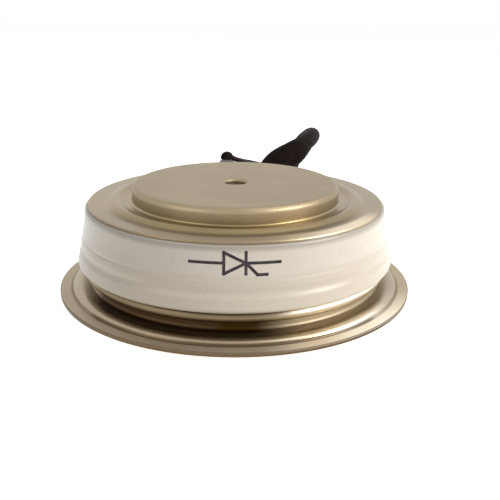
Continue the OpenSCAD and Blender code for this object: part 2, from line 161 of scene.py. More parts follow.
def new_group(name, numbers, outputs):
    """A shader group that takes a vector and named numbers with their defaults, and puts out numbers."""
    group = bpy.data.node_groups.new(name, "ShaderNodeTree")
    group.interface.new_socket("Vector", in_out="INPUT", socket_type="NodeSocketVector")
    for label, default in numbers.items():
        socket = group.interface.new_socket(label, in_out="INPUT", socket_type="NodeSocketFloat")
        socket.default_value = default
    for label in outputs:
        group.interface.new_socket(label, in_out="OUTPUT", socket_type="NodeSocketFloat")
    return group, group.nodes.new("NodeGroupInput"), group.nodes.new("NodeGroupOutput")


def add_node(tree, kind, values=(), **settings):
    node = tree.nodes.new(kind)
    for key, value in settings.items():
        setattr(node, key, value)
    for socket, value in dict(values).items():
        if isinstance(value, bpy.types.NodeSocket):
            tree.links.new(value, node.inputs[socket])
        else:
            node.inputs[socket].default_value = value
    return node


def maths(tree, operation, *values, clamp=False):
    node = add_node(tree, "ShaderNodeMath", enumerate(values), operation=operation, use_clamp=clamp)
    return node.outputs[0]


def blend_colour(tree, share, first, second, way="MIX"):
    mixer = add_node(tree, "ShaderNodeMix", {0: share, 6: first, 7: second}, data_type="RGBA", blend_type=way)
    return mixer.outputs[2]


def between(tree, value, start, end, bottom=0.0, top=1.0):
    node = add_node(tree, "ShaderNodeMapRange", {0: value, 1: start, 2: end, 3: bottom, 4: top},
                    interpolation_type="SMOOTHSTEP")
    return node.outputs[0]


def noise(tree, vector, scale, detail, roughness=0.5, **settings):
    node = add_node(tree, "ShaderNodeTexNoise", {"Scale": scale, "Detail": detail, "Roughness": roughness},
                    **settings)
    tree.links.new(vector, node.inputs["W" if settings.get("noise_dimensions") == "1D" else "Vector"])
    return node.outputs["Fac"]


def grain_group():
    """Fine speckle for roughness and bump, and slow blotches for tone."""
    group, given, made = new_group("Fine grain", {"Grain scale": 2500.0, "Blotch scale": 120.0},
                                   ("Height", "Blotch"))
    group.links.new(noise(group, given.outputs[0], given.outputs[1], 3.0, 0.6), made.inputs[0])
    slow = noise(group, given.outputs[0], given.outputs[2], 3.0, 0.55)
    group.links.new(between(group, slow, 0.32, 0.68), made.inputs[1])
    return group


def turned_group():
    """Concentric lathe marks about the Z axis: a height and a tone that vary with the radius."""
    group, given, made = new_group("Turned marks", {"Marks per metre": 9000.0}, ("Height", "Tone", "Radius"))
    parts = add_node(group, "ShaderNodeSeparateXYZ", {0: given.outputs[0]})
    flat = add_node(group, "ShaderNodeCombineXYZ", {0: parts.outputs[0], 1: parts.outputs[1], 2: 0.0})
    radius = add_node(group, "ShaderNodeVectorMath", {0: flat.outputs[0]}, operation="LENGTH").outputs[1]
    place = maths(group, "MULTIPLY", radius, given.outputs[1])
    group.links.new(noise(group, place, 1.0, 3.0, 0.7, noise_dimensions="1D"), made.inputs[0])
    slow = maths(group, "MULTIPLY", place, 0.12)
    group.links.new(noise(group, slow, 1.0, 2.0, noise_dimensions="1D"), made.inputs[1])
    group.links.new(radius, made.inputs[2])
    return group


def scratch_group():
    """Sparse hair scratches, as one mask."""
    group, given, made = new_group("Handling marks", {"Amount": 1.0}, ("Mask",))
    mask = None
    for turn, stretch in ((0.4, 90.0), (1.9, 70.0), (2.7, 110.0)):
        along = add_node(group, "ShaderNodeMapping", {0: given.outputs[0], 2: (0.0, 0.0, turn),
                                                      3: (stretch * 30, stretch, stretch)})
        lines = noise(group, along.outputs[0], 1.0, 1.0)
        thin = between(group, maths(group, "ABSOLUTE", maths(group, "SUBTRACT", lines, 0.5)), 0.006, 0.0)
        patch = between(group, noise(group, given.outputs[0], 70.0 * (1 + turn), 1.0), 0.52, 0.66)
        part = maths(group, "MULTIPLY", thin, patch)
        mask = part if mask is None else maths(group, "MAXIMUM", mask, part)
    group.links.new(maths(group, "MULTIPLY", mask, given.outputs[1], clamp=True), made.inputs[0])
    return group


def shared_group(name):
    makers = {"Fine grain": grain_group, "Turned marks": turned_group, "Handling marks": scratch_group}
    return bpy.data.node_groups.get(name) or makers[name]()


class Finish:
    """A node material: its tree, Principled shader and object coordinates, and short ways to add nodes."""

    def __init__(self, name, **values):
        self.material = bpy.data.materials.new(name)
        self.material.use_nodes = True
        self.tree = self.material.node_tree
        self.shader = self.tree.nodes["Principled BSDF"]
        self.place = self.tree.nodes.new("ShaderNodeTexCoord").outputs["Object"]
        for key, value in values.items():
            self.shader.inputs[key.replace("_", " ")].default_value = value

    def group(self, name, **values):
        node = self.tree.nodes.new("ShaderNodeGroup")
        node.node_tree = shared_group(name)
        self.tree.links.new(self.place, node.inputs["Vector"])
        for key, value in values.items():
            node.inputs[key.replace("_", " ")].default_value = value
        return node.outputs

    def feed(self, socket, value):
        self.tree.links.new(value, self.shader.inputs[socket])

    def bump(self, height, distance):
        node = add_node(self.tree, "ShaderNodeBump", {"Distance": distance, "Height": height})
        self.feed("Normal", node.outputs[0])

    def axis(self, index):
        return add_node(self.tree, "ShaderNodeSeparateXYZ", {0: self.place}).outputs[index]

    def mix(self, share, first, second, way="MIX"):
        return blend_colour(self.tree, share, first, second, way)

    def between(self, value, start, end, bottom=0.0, top=1.0):
        return between(self.tree, value, start, end, bottom, top)

    def times(self, *values):
        return self.chain("MULTIPLY", values)

    def plus(self, *values):
        return self.chain("ADD", values)

    def chain(self, operation, values):
        result = values[0]
        for value in values[1:]:
            result = maths(self.tree, operation, result, value)
        return result


def rgba(three, scale=1.0):
    return (three[0] * scale, three[1] * scale, three[2] * scale, 1.0)


def contact_finish(colours):
    """Turned nickel plate, with lathe marks and fine scratches from handling."""
    f = Finish("turned_nickel", Metallic=1.0, Specular_IOR_Level=0.5)
    grain = f.group("Fine grain", Grain_scale=1800.0, Blotch_scale=90.0)
    marks = f.group("Turned marks", Marks_per_metre=7000.0)
    hairs = f.group("Handling marks", Amount=0.8)
    tone = f.mix(grain["Blotch"], rgba(colours.nickel, 0.93), rgba(colours.nickel, 1.06))
    tone = f.mix(f.times(marks["Tone"], 0.22), tone, rgba(colours.nickel, 0.7))
    tone = f.mix(f.times(hairs["Mask"], 0.5), tone, rgba(colours.nickel, 1.5))
    f.feed("Base Color", tone)
    f.feed("Roughness", f.between(f.plus(grain["Height"], marks["Height"]), 0.6, 1.4, 0.36, 0.52))
    f.bump(f.plus(marks["Height"], f.times(grain["Height"], 0.5)), 6e-6)
    return f.material


def hollow_tone(f, tone, radius, colours, valley, half):
    """The lid: painted light away from the front, painted shade in its valley at the front, a painted
    highlight at the front right.
    """
    front = f.between(f.axis(1), -7 * MM, -16 * MM)
    # Painted light and shade: the lid a little paler away from the front, warmer and darker inside its valley
    # at the front
    paler, warmer = (1.1, 1.1, 1.08), (0.88, 0.84, 0.66)
    tone = f.mix(1.0, tone, f.mix(front, rgba(paler), (1, 1, 1, 1)), "MULTIPLY")
    warm = f.times(front, f.between(radius, valley + 1.2 * MM, valley + 0.2 * MM))
    tone = f.mix(warm, tone, rgba(warmer), "MULTIPLY")
    away = maths(f.tree, "ABSOLUTE", maths(f.tree, "SUBTRACT", radius, valley))
    # Painted shade: a dark line along the valley at the front
    valley_shade = f.times(front, f.between(away, half, 0.2 * half, 0.0, 0.6))
    tone = f.mix(valley_shade, tone, rgba(colours.shade))
    # Painted highlight on the outer flat at the front right
    edge_glint = f.times(f.between(f.axis(0), 5 * MM, 15 * MM, 0.0, 0.9),
                       f.between(f.axis(1), -7 * MM, -14 * MM),
                       f.between(radius, valley + 0.5 * MM, valley + 1.5 * MM))
    return f.mix(edge_glint, tone, rgba(colours.rim, 1.9))


def recess_finish(f, tone, rough, radius, blotch, colours, inner, outer, middle, rim):
    """The seal sheet: painted shade in the recess between two radii, darker under the middle of the bulge,
    fainter at the far left and right; painted light and highlights at the front right; the flat paler towards
    the rim as painted sheen; a painted shadow line in the corner of the pressed rim. Gives tone and
    roughness."""
    across, height = f.axis(0), f.axis(2)
    within = f.between(radius, outer, inner)
    # Where the recess lies, and a mask that takes the painted shade away at the far left and right
    ends = f.between(maths(f.tree, "ABSOLUTE", across), 22.2 * MM, 19.8 * MM)
    # Two painted highlight masks, at the front right and further right, and the rim tone that carries them
    glint = f.times(f.between(across, 3 * MM, 11 * MM), f.between(f.axis(1), -4 * MM, -15 * MM))
    bright = f.times(f.between(across, 11 * MM, 18 * MM), f.between(f.axis(1), -12 * MM, -18 * MM))
    glint_tone = f.mix(bright, f.mix(glint, rgba(colours.rim), rgba(colours.glint_tone)), rgba(colours.bright))
    # Painted shade in the recess, darker under the middle of the bulge, left out at the front right
    depth = f.times(f.between(height, middle + 0.25 * MM, middle - 0.25 * MM, 0.62, 1.0),
                    f.between(blotch, 0.0, 1.0, 0.9, 1.0), maths(f.tree, "SUBTRACT", 1.0, glint), ends)
    tone = f.mix(f.times(within, depth), tone, rgba(colours.shade))
    # Painted light in the recess at the front right
    tone = f.mix(f.times(within, glint, 0.5), tone, rgba(colours.rim))
    # Painted highlight on the upper half of the bulge at the front right
    bulge_glint = f.times(f.between(across, 5 * MM, 10 * MM), glint,
                   f.between(height, middle - 0.1 * MM, middle + 0.4 * MM, 0.0, 0.9))
    tone = f.mix(bulge_glint, tone, rgba(colours.bright))
    # Painted sheen: the flat paler towards the rim, stronger at the right
    shoulder_sheen = f.times(f.between(radius, rim - 2.1 * MM, rim - 0.9 * MM, 0.0, 0.5),
                   f.plus(1.0, f.times(bright, 0.8)))
    tone = f.mix(shoulder_sheen, tone, glint_tone)
    # The pressed rim takes the rim colour, with the painted highlights at the front right
    pressed = f.between(radius, rim - 0.1 * MM, rim + 0.2 * MM)
    tone = f.mix(pressed, tone, glint_tone)
    # Painted shadow: a dark line in the corner at the foot of the step, fainter at the far left and right
    corner = f.times(f.between(radius, rim - 0.3 * MM, rim - 0.05 * MM),
                     f.between(radius, rim + 0.35 * MM, rim + 0.12 * MM, 0.0, 0.85),
                     f.between(ends, 0.0, 1.0, 0.55, 1.0))
    tone = f.mix(corner, tone, rgba(colours.shade))
    return tone, f.plus(rough, f.times(within, 0.22), f.times(pressed, 0.3))


def sheet_finish(colours, name, cut, hollow=None, recess=None, satin=0.28):
    """Satin sheet. Cut is (radius, darkness) of painted shade on the cut edge, a hollow is (radius, half
    width) of a valley with painted light and shade, and a recess is (inner and outer radius of the painted
    shade, middle of the bulge, radius of the pressed rim)."""
    f = Finish(name, Metallic=1.0, Specular_IOR_Level=0.5)
    grain = f.group("Fine grain", Grain_scale=1500.0, Blotch_scale=70.0)
    marks = f.group("Turned marks", Marks_per_metre=2500.0)
    hairs = f.group("Handling marks", Amount=0.6)
    radius = marks["Radius"]
    tone = f.mix(grain["Blotch"], rgba(colours.sheet, 0.92), rgba(colours.sheet, 1.08))
    tone = f.mix(f.times(marks["Tone"], 0.15), tone, rgba(colours.sheet, 0.75))
    tone = f.mix(f.times(hairs["Mask"], 0.35), tone, rgba(colours.sheet, 1.5))
    rough = f.between(grain["Blotch"], 0.0, 1.0, satin - 0.02, satin + 0.02)
    if hollow:
        tone = hollow_tone(f, tone, radius, colours, *hollow)
    if recess:
        tone, rough = recess_finish(f, tone, rough, radius, grain["Blotch"], colours, *recess)
    edge, darkness = cut
    # Painted shade on the cut edge
    edge_shade = f.between(radius, edge - 0.12 * MM, edge - 0.02 * MM, 0.0, darkness)
    f.feed("Base Color", f.mix(edge_shade, tone, rgba(colours.shade)))
    f.feed("Roughness", rough)
    f.bump(marks["Height"], 3e-7)
    return f.material


def ink_finish(colours):
    """Printed ink with a little cloudiness."""
    f = Finish("printed_ink", Specular_IOR_Level=0.3)
    grain = f.group("Fine grain", Grain_scale=3500.0, Blotch_scale=900.0)
    f.feed("Base Color", f.mix(f.times(grain["Blotch"], 0.6), rgba(colours.ink), rgba(colours.ink, 4.0)))
    f.feed("Roughness", f.between(grain["Height"], 0.2, 0.8, 0.45, 0.65))
    return f.material


def glaze_finish(colours, base, top):
    """Glazed alumina, warmer at its foot, with sparse specks and a browner band under the lid."""
    f = Finish("alumina_glaze", Roughness=0.42, Coat_Roughness=0.24, Coat_IOR=1.45)
    grain = f.group("Fine grain", Grain_scale=900.0, Blotch_scale=55.0)
    height = f.axis(2)
    upper = f.between(height, base + 0.45 * (top - base), base + 0.62 * (top - base))
    tone = f.mix(upper, rgba(colours.glaze_low), rgba(colours.glaze))
    tone = f.mix(f.times(grain["Blotch"], 0.35), tone, rgba(colours.glaze_low, 0.93))
    # Browner and darker towards the top edge, under the lid
    top_band = f.between(height, top - 1.2 * MM, top - 0.25 * MM, 0.0, 0.75)
    tone = f.mix(top_band, tone, rgba(colours.glaze_low, 0.5))
    specks = f.between(noise(f.tree, f.place, 1600.0, 0.0), 0.74, 0.80)
    f.feed("Base Color", f.mix(f.times(specks, 0.15), tone, rgba(colours.glaze_low, 0.55)))
    f.feed("Coat Weight", f.between(grain["Blotch"], 0.0, 1.0, 0.45, 0.65))
    f.bump(f.plus(grain["Height"], grain["Blotch"]), 8e-6)
    return f.material


def plain_finish(name, base, roughness, metallic=0.0, variation=0.12, grain_scale=1500.0, bump=4e-6,
                 **values):
    """A finish with cloudy tone, uneven roughness and a fine grain."""
    f = Finish(name, Metallic=metallic, **values)
    grain = f.group("Fine grain", Grain_scale=grain_scale, Blotch_scale=160.0)
    f.feed("Base Color", f.mix(grain["Blotch"], rgba(base, 1 - variation), rgba(base, 1 + variation)))
    f.feed("Roughness", f.between(grain["Height"], 0.25, 0.75, roughness * 0.85, roughness * 1.15))
    f.bump(grain["Height"], bump)
    return f.material


def silicon_finish():
    """Dark wafer with bright metallised rings round the gate."""
    f = Finish("silicon_wafer_metal", Metallic=0.85, Roughness=0.2)
    grain = f.group("Fine grain", Grain_scale=3000.0, Blotch_scale=200.0)
    rings = f.group("Turned marks", Marks_per_metre=300.0)
    band = f.between(maths(f.tree, "SINE", f.times(rings["Radius"], 2600.0)), 0.0, 0.2)
    bare, metal, haze = (0.05, 0.055, 0.075), (0.42, 0.42, 0.45), (0.2, 0.2, 0.24)
    tone = f.mix(band, rgba(bare), rgba(metal))
    f.feed("Base Color", f.mix(f.times(grain["Blotch"], 0.2), tone, rgba(haze)))
    f.bump(grain["Height"], 1e-6)
    return f.material


# Mesh helpers

def arc(centre, radius, start, end, count):
    """Corners round a centre in the profile plane, angles in degrees."""
    turns = [radians(start + (end - start) * i / count) for i in range(count + 1)]
    return [(centre[0] + radius * cos(a), centre[1] + radius * sin(a), 0.0) for a in turns]


def corrugation(start, width, rise, count=24):
    """Radii and heights along one smooth wave of a spun sheet."""
    return [(start + width * i / count, rise * (1 - cos(2 * pi * i / count)) / 2) for i in range(count + 1)]


def profile_wire(bm, corners, closed):
    """A wire of corners (radius, height, rounding) in the XZ plane, each corner rounded by a vertex bevel."""
    verts = [bm.verts.new((r, 0, z)) for r, z, _ in corners]
    for a, b in zip(verts, verts[1:]):
        bm.edges.new((a, b))
    if closed:
        bm.edges.new((verts[-1], verts[0]))
    for vert, (_, _, size) in zip(verts, corners):
        if size:
            bmesh.ops.bevel(bm, geom=[vert], offset=size, affect="VERTICES", segments=6, profile=0.5,
                            material=-1)


def spin_wire(bm, steps):
    bmesh.ops.spin(bm, geom=bm.verts[:] + bm.edges[:], cent=(0, 0, 0), axis=(0, 0, 1), angle=2 * pi,
                   steps=steps, use_merge=True)
    bmesh.ops.remove_doubles(bm, verts=bm.verts, dist=1e-8)
    bmesh.ops.recalc_face_normals(bm, faces=bm.faces)


def add_object(name, data):
    made = bpy.data.objects.new(name, data)
    bpy.context.scene.collection.objects.link(made)
    return made


def even_shading(piece):
    """Smooth shading between the sharp edges, steady across large flat faces."""
    piece.data.set_sharp_from_angle(angle=SHARP)
    piece.modifiers.new("Even normals", "WEIGHTED_NORMAL").keep_sharp = True


def make_piece(name, bm, material):
    """An object at the origin that rides on the body."""
    for face in bm.faces:
        face.smooth = True
    mesh = bpy.data.meshes.new(name)
    bm.to_mesh(mesh)
    bm.free()
    mesh.materials.append(material)
    piece = add_object(name, mesh)
    even_shading(piece)
    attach(piece, BODY)
    return piece


def turned(name, corners, material, steps, place=None):
    """A solid of revolution from the corners of its closed half section."""
    bm = bmesh.new()
    profile_wire(bm, corners, closed=True)
    spin_wire(bm, steps)
    if place:
        bmesh.ops.transform(bm, matrix=place, verts=bm.verts)
    return make_piece(name, bm, material)


def formed_sheet(name, corners, thickness, material, steps):
    """A spun sheet: the upper line of its section, given a wall downwards."""
    bm = bmesh.new()
    profile_wire(bm, corners, closed=False)
    spin_wire(bm, steps)
    rim = max(bm.faces, key=lambda face: face.calc_center_median().xy.length)
    if rim.normal.z < 0:
        bmesh.ops.reverse_faces(bm, faces=bm.faces)
    bmesh.ops.solidify(bm, geom=bm.faces[:], thickness=thickness)
    bmesh.ops.recalc_face_normals(bm, faces=bm.faces)
    return make_piece(name, bm, material)


def cut_away(piece, cutters):
    """Takes solids away from a piece and keeps the result as its own mesh."""
    piece.modifiers.clear()
    for tool in cutters:
        cut = piece.modifiers.new("Cut", "BOOLEAN")
        cut.operation = "DIFFERENCE"
        cut.solver = "EXACT"
        cut.object = tool
    done = bpy.data.meshes.new_from_object(piece.evaluated_get(bpy.context.evaluated_depsgraph_get()))
    piece.modifiers.clear()
    piece.data = done
    even_shading(piece)
    for tool in cutters:
        bpy.data.objects.remove(tool)


def cutter(shape, matrix):
    mesh = bpy.data.meshes.new("Cutter")
    bmesh.ops.transform(shape, matrix=matrix, verts=shape.verts)
    bmesh.ops.recalc_face_normals(shape, faces=shape.faces)
    shape.to_mesh(mesh)
    shape.free()
    return add_object("Cutter", mesh)


def round_cutter(radius, start, end, matrix):
    bm = bmesh.new()
    bmesh.ops.create_cone(bm, cap_ends=True, segments=64, radius1=radius, radius2=radius, depth=end - start)
    return cutter(bm, matrix @ Matrix.Translation((0, 0, (start + end) / 2)))


def box_cutter(size, centre, matrix):
    bm = bmesh.new()
    bmesh.ops.create_cube(bm, size=1)
    bmesh.ops.scale(bm, vec=size, verts=bm.verts)
    return cutter(bm, matrix @ Matrix.Translation(centre))


def softened(node, material, width):
    """A copy of a CAD node with its flat faces joined and its edges broken, in place of the node."""
    bm = bmesh.new()
    bm.from_mesh(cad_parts[node].data)
    bmesh.ops.remove_doubles(bm, verts=bm.verts, dist=1e-7)
    bmesh.ops.dissolve_limit(bm, angle_limit=radians(2), verts=bm.verts, edges=bm.edges)
    bmesh.ops.recalc_face_normals(bm, faces=bm.faces)
    crisp = [e for e in bm.edges if len(e.link_faces) == 2 and e.calc_face_angle() > radians(35)]
    bmesh.ops.bevel(bm, geom=crisp, offset=width, affect="EDGES", segments=2, profile=0.5, material=-1,
                    clamp_overlap=True)
    piece = make_piece(node + "_piece", bm, material)
    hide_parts(node)
    return piece


def soft_line(name, points, widths, material, sides=6):
    """A round bar along one smooth open spline, with one width or a list of its width at each point."""
    if not isinstance(widths, list):
        widths = [widths] * len(points)
    curve = bpy.data.curves.new(name, "CURVE")
    curve.dimensions = "3D"
    curve.bevel_depth = 1.0
    curve.bevel_resolution = sides
    curve.use_fill_caps = True
    curve.resolution_u = 10
    spline = curve.splines.new("BEZIER")
    spline.bezier_points.add(len(points) - 1)
    for knot, point, width in zip(spline.bezier_points, points, widths):
        knot.co = point
        knot.radius = width / 2
        knot.handle_left_type = knot.handle_right_type = "AUTO"
    curve.materials.append(material)
    piece = add_object(name, curve)
    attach(piece, BODY)
    return piece


# From a piece made along Z to the axis of the gate tube
GATE_AXIS = (Matrix.Rotation(-GATE_TURN, 4, "Z") @ Matrix.Translation((0, 0, GATE_HEIGHT))
             @ Matrix.Rotation(-pi / 2, 4, "X"))

# Routes of the lead and its wires, repeated from the part's source, in millimetres from the end of the gate
# tube, from the joint on the tab or from the middle of the coil

LEAD_AT = Vector((TUBE_END * sin(GATE_TURN), TUBE_END * cos(GATE_TURN), GATE_HEIGHT))
TAB_TURN = radians(5)
TAB_OUT = 26.8 * MM
JOINT_AT = Vector((-TAB_OUT * sin(TAB_TURN), TAB_OUT * cos(TAB_TURN), 19.95 * MM))
LEAD_Z = 2.25 * MM
BOOT_ROUTE = [(-0.4, -1.8, 0), (0.1, 0.6, 0.4), (0.9, 2.9, 2), (2.9, 5.2, 4.2), (6.4, 7.4, 6.3),
              (8.5, 10.6, 7.4)]
BOOT_WIDTHS = [5.8, 5.9, 6, 6, 5.1, 3.9]
RUN_ROUTE = [(8.5, 10.6, 7.4), (9.55, 12.2, 7.95), (10.35, 14.1, 8.35), (10.75, 17.05, 8.35),
             (10.25, 19.9, 7.6), (9.15, 22.25, 6.05), (8, 24, 3.55), (7.15, 25.3, 0.85), (6.45, 26.45, -1.85),
             (5.9, 27.55, -4.75), (5.5, 28.85, -6.95), (5.2, 30.65, -8.55), (5.05, 32.75, -9.5),
             (5, 34.3, -9.75), (5, 35.8, -9.75)]
WIRE_FROM_JOINT = [(0.5, 0.1, -0.9), (1.5, 0.2, -1.5), (2.4, 0.3, -1.8), (3.6, 0.6, -2.15)]
WIRE_TO_BOOT = [(-3.1, -0.3, 5.5), (-2.1, 0.1, 5.2), (-1.1, 0.6, 4.85), (-0.4, 1.1, 4.5), (0.6, 2.6, 3.3)]
TAIL_BEND = [(0, 0), (0, -1.5), (0.5, -4), (2.1, -6.8), (4.4, -9), (7, -10.1)]
TAIL_END = (10.8, -9.5)
FAR_TURN = radians(15)
# Each thin wire at the far end of the lead: along the tail, to its own side and up
FAR_WIRE = [(0, 0.75, 0), (0.8, 0.75, 0), (1.7, 1.4, -0.45), (2.6, 2, -0.9), (3.4, 2, -0.9)]


def route(points, start):
    return [start + Vector(p) * MM for p in points]


def coil_centre(lead):
    end = LEAD_AT + Vector(RUN_ROUTE[-1]) * MM
    return Vector((end.x - lead.coil_radius, end.y, LEAD_Z))


def half_turn(centre, radius, start, count=12):
    return [centre + radius * Vector((cos(start + pi * i / count), sin(start + pi * i / count), 0))
            for i in range(count)]


def far_end(lead):
    """Where the tail of the lead ends, and its heading."""
    inner = lead.coil_radius - lead.coil_pitch
    return (coil_centre(lead) + Vector((TAIL_END[0] * MM - inner, TAIL_END[1] * MM, 0)),
            Vector((cos(FAR_TURN), sin(FAR_TURN), 0)))


def lead_route(lead):
    """The whole free lead: over the back, down, one and a half turns inwards and out across the coil."""
    centre = coil_centre(lead)
    inner = lead.coil_radius - lead.coil_pitch
    shift = Vector((-lead.coil_pitch / 2, 0, 0))
    end, heading = far_end(lead)
    points = route(RUN_ROUTE, LEAD_AT)[:-1]
    points += half_turn(centre, lead.coil_radius, 0)
    points += half_turn(centre + shift, lead.coil_radius - lead.coil_pitch / 2, pi)
    points += half_turn(centre, inner, 0)
    points += [centre + Vector((x * MM - inner, y * MM, 0)) for x, y in TAIL_BEND]
    return points + [end - 1.5 * MM * heading, end]


# Operators, one for each piece or group of like pieces

class THYRISTOR_OT_stage(bpy.types.Operator):
    """Make the camera, the floor, the lamps and the white surroundings"""

    bl_idname = "thyristor.stage"
    bl_label = "Stage"

    def execute(self, context):
        scene = context.scene
        stage = scene.stage_settings
        for name in ("Cube", "Light", "Camera"):
            spare = bpy.data.objects.get(name)
            if spare:
                bpy.data.objects.remove(spare)
        scene.view_settings.view_transform = "Standard"
        self.camera(scene, stage)
        for name, setting, place, size, tint in LAMPS:
            self.lamp(name, place, size, getattr(stage, setting), tint)
        self.floor()
        self.world(scene, stage)
        return {"FINISHED"}

    def camera(self, scene, stage):
        data = bpy.data.cameras.new("Camera")
        data.lens = stage.lens
        data.sensor_width = 36
        data.clip_start, data.clip_end = CLIP
        camera = add_object("Camera", data)
        camera.matrix_world = (Matrix.Translation(CAMERA_PLACE) @ Matrix.Rotation(CAMERA_TILT, 4, "X")
                               @ Matrix.Rotation(CAMERA_ROLL, 4, "Z"))
        scene.camera = camera

    def lamp(self, name, place, size, power, tint):
        data = bpy.data.lights.new(name, "AREA")
        data.shape = "DISK"
        data.size = size
        data.energy = power
        data.color = tint
        lamp = add_object(name, data)
        lamp.location = place
        lamp.rotation_mode = "QUATERNION"
        lamp.rotation_quaternion = (Vector(place) - LAMP_AIM).to_track_quat("Z", "Y")

    def seen_directly(self, tree):
        """One where the camera, a reflection or a clear body looks straight at the surroundings."""
        path = tree.nodes.new("ShaderNodeLightPath")
        seen = maths(tree, "MAXIMUM", path.outputs["Is Camera Ray"], path.outputs["Is Glossy Ray"])
        return maths(tree, "MAXIMUM", seen, path.outputs["Is Transmission Ray"])

    def floor(self):
        bm = bmesh.new()
        bmesh.ops.create_circle(bm, cap_ends=True, segments=96, radius=FLOOR_RADIUS)
        mesh = bpy.data.meshes.new("Floor")
        bm.to_mesh(mesh)
        bm.free()
        floor = add_object("Floor", mesh)
        material = bpy.data.materials.new("pale_floor")
        material.use_nodes = True
        tree = material.node_tree
        tree.nodes.clear()
        base = add_node(tree, "ShaderNodeBsdfDiffuse", {"Color": rgba(FLOOR_COLOUR)})
        strength = maths(tree, "MULTIPLY", self.seen_directly(tree), FLOOR_LIFT)
        lift = add_node(tree, "ShaderNodeEmission", {"Color": (1, 1, 1, 1), "Strength": strength})
        both = add_node(tree, "ShaderNodeAddShader", {0: base.outputs[0], 1: lift.outputs[0]})
        add_node(tree, "ShaderNodeOutputMaterial", {0: both.outputs[0]})
        mesh.materials.append(material)

    def world(self, scene, stage):
        world = bpy.data.worlds.new("White room")
        world.use_nodes = True
        tree = world.node_tree
        tree.nodes.clear()
        level = add_node(tree, "ShaderNodeMapRange", {0: self.seen_directly(tree), 3: stage.ambient, 4: 1.0})
        glow = add_node(tree, "ShaderNodeBackground", {"Color": (1, 1, 1, 1), "Strength": level.outputs[0]})
        add_node(tree, "ShaderNodeOutputWorld", {0: glow.outputs[0]})
        scene.world = world


class THYRISTOR_OT_gate_lead(bpy.types.Operator):
    """Lay the free gate lead with its coil, its tie and its two insulated terminals"""

    bl_idname = "thyristor.gate_lead"
    bl_label = "Gate lead"

    def execute(self, context):
        lead = context.scene.lead_sizes
        colours = context.scene.finish_colours
        sleeve = plain_finish("lead_sleeve", colours.black, 0.68, variation=0.3, grain_scale=2200.0,
                              bump=9e-6, Specular_IOR_Level=0.14)
        cord = soft_line("gate_lead_cord", lead_route(lead), lead.diameter, sleeve)
        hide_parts("lead_run", "lead_coil", "lead_tail")
        end, heading = far_end(lead)
        side = Vector((-heading.y, heading.x, 0))
        for name, way, tint, slot in (("gate_tail", 1, (0.80, 0.79, 0.75), "white_wire"),
                                      ("cathode_tail", -1, (0.45, 0.022, 0.015), "red_wire")):
            skin = plain_finish(name + "_insulation", tint, 0.35, variation=0.06)
            line = [end + (along * heading + way * aside * side + Vector((0, 0, up))) * MM
                    for along, aside, up in FAR_WIRE]
            tail = soft_line(name + "_wire", line, lead.wire_diameter, skin)
            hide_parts(name)
        cover = plain_finish("milky_cover", (0.78, 0.77, 0.72), 0.3, variation=0.05, Subsurface_Weight=0.2)
        ends = [softened(node, cover, 0.12 * MM)
                for node in ("gate_terminal", "cathode_terminal")]
        nylon = plain_finish("grey_nylon", (0.16, 0.16, 0.165), 0.5, variation=0.15)
        tie = softened("coil_tie", nylon, 0.1 * MM)
        return {"FINISHED"}


class THYRISTOR_OT_boot(bpy.types.Operator):
    """Mould the black boot over the end of the gate tube"""

    bl_idname = "thyristor.boot"
    bl_label = "Lead boot"

    def execute(self, context):
        colours = context.scene.finish_colours
        rubber = plain_finish("boot_rubber", colours.black, 0.7, variation=0.35, grain_scale=1400.0,
                              bump=1.2e-5, Specular_IOR_Level=0.04)
        boot = soft_line("lead_boot_piece", route(BOOT_ROUTE, LEAD_AT), [w * MM for w in BOOT_WIDTHS],
                         rubber, 10)
        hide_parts("lead_boot")
        return {"FINISHED"}


class THYRISTOR_OT_contacts(bpy.types.Operator):
    """Turn the two contact poles, with their locating holes, the gate well and its slot"""

    bl_idname = "thyristor.contacts"
    bl_label = "Contact poles"

    def execute(self, context):
        s = context.scene.capsule_sizes
        face = contact_finish(context.scene.finish_colours)
        inner = low("cathode_pole").z
        seat = s.ceramic_top
        chamfer = 0.3 * MM
        well_radius = 3.5 * MM
        well_top = inner + 5.2 * MM
        cathode = turned("cathode_contact", [
            (0, s.top - s.hole_depth, 0), (s.hole_radius, s.top - s.hole_depth, 0.2 * MM),
            (s.hole_radius, s.top - chamfer, 0), (s.hole_radius + chamfer, s.top, 0.05 * MM),
            (s.contact_radius, s.top, s.contact_edge), (s.contact_radius, seat, 0.1 * MM),
            (s.root_radius, seat, 0.15 * MM), (s.root_radius, inner, 0.3 * MM),
            (well_radius, inner, 0), (well_radius, well_top, 0.2 * MM), (0, well_top, 0)],
            face, s.steps)
        slot_width, slot_reach = 2.4 * MM, 20 * MM
        slot_top, slot_bottom = 13.1 * MM, inner - 1 * MM
        slot = box_cutter((slot_width, slot_reach, slot_top - slot_bottom),
                          (0, slot_reach / 2, (slot_top + slot_bottom) / 2),
                          Matrix.Rotation(-GATE_TURN, 4, "Z"))
        cut_away(cathode, [slot])
        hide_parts("cathode_pole")
        crown = high("anode_pole").z
        step = low("seal_sheet").z
        anode = turned("anode_contact", [
            (0, s.hole_depth, 0), (0, crown, 0), (s.root_radius, crown, 0.3 * MM),
            (s.root_radius, step, 0.15 * MM), (s.contact_radius, step, 0.1 * MM),
            (s.contact_radius, 0, s.contact_edge),
            (s.hole_radius + chamfer, 0, 0.05 * MM), (s.hole_radius, chamfer, 0),
            (s.hole_radius, s.hole_depth, 0.2 * MM)], face, s.steps)
        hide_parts("anode_pole")
        return {"FINISHED"}


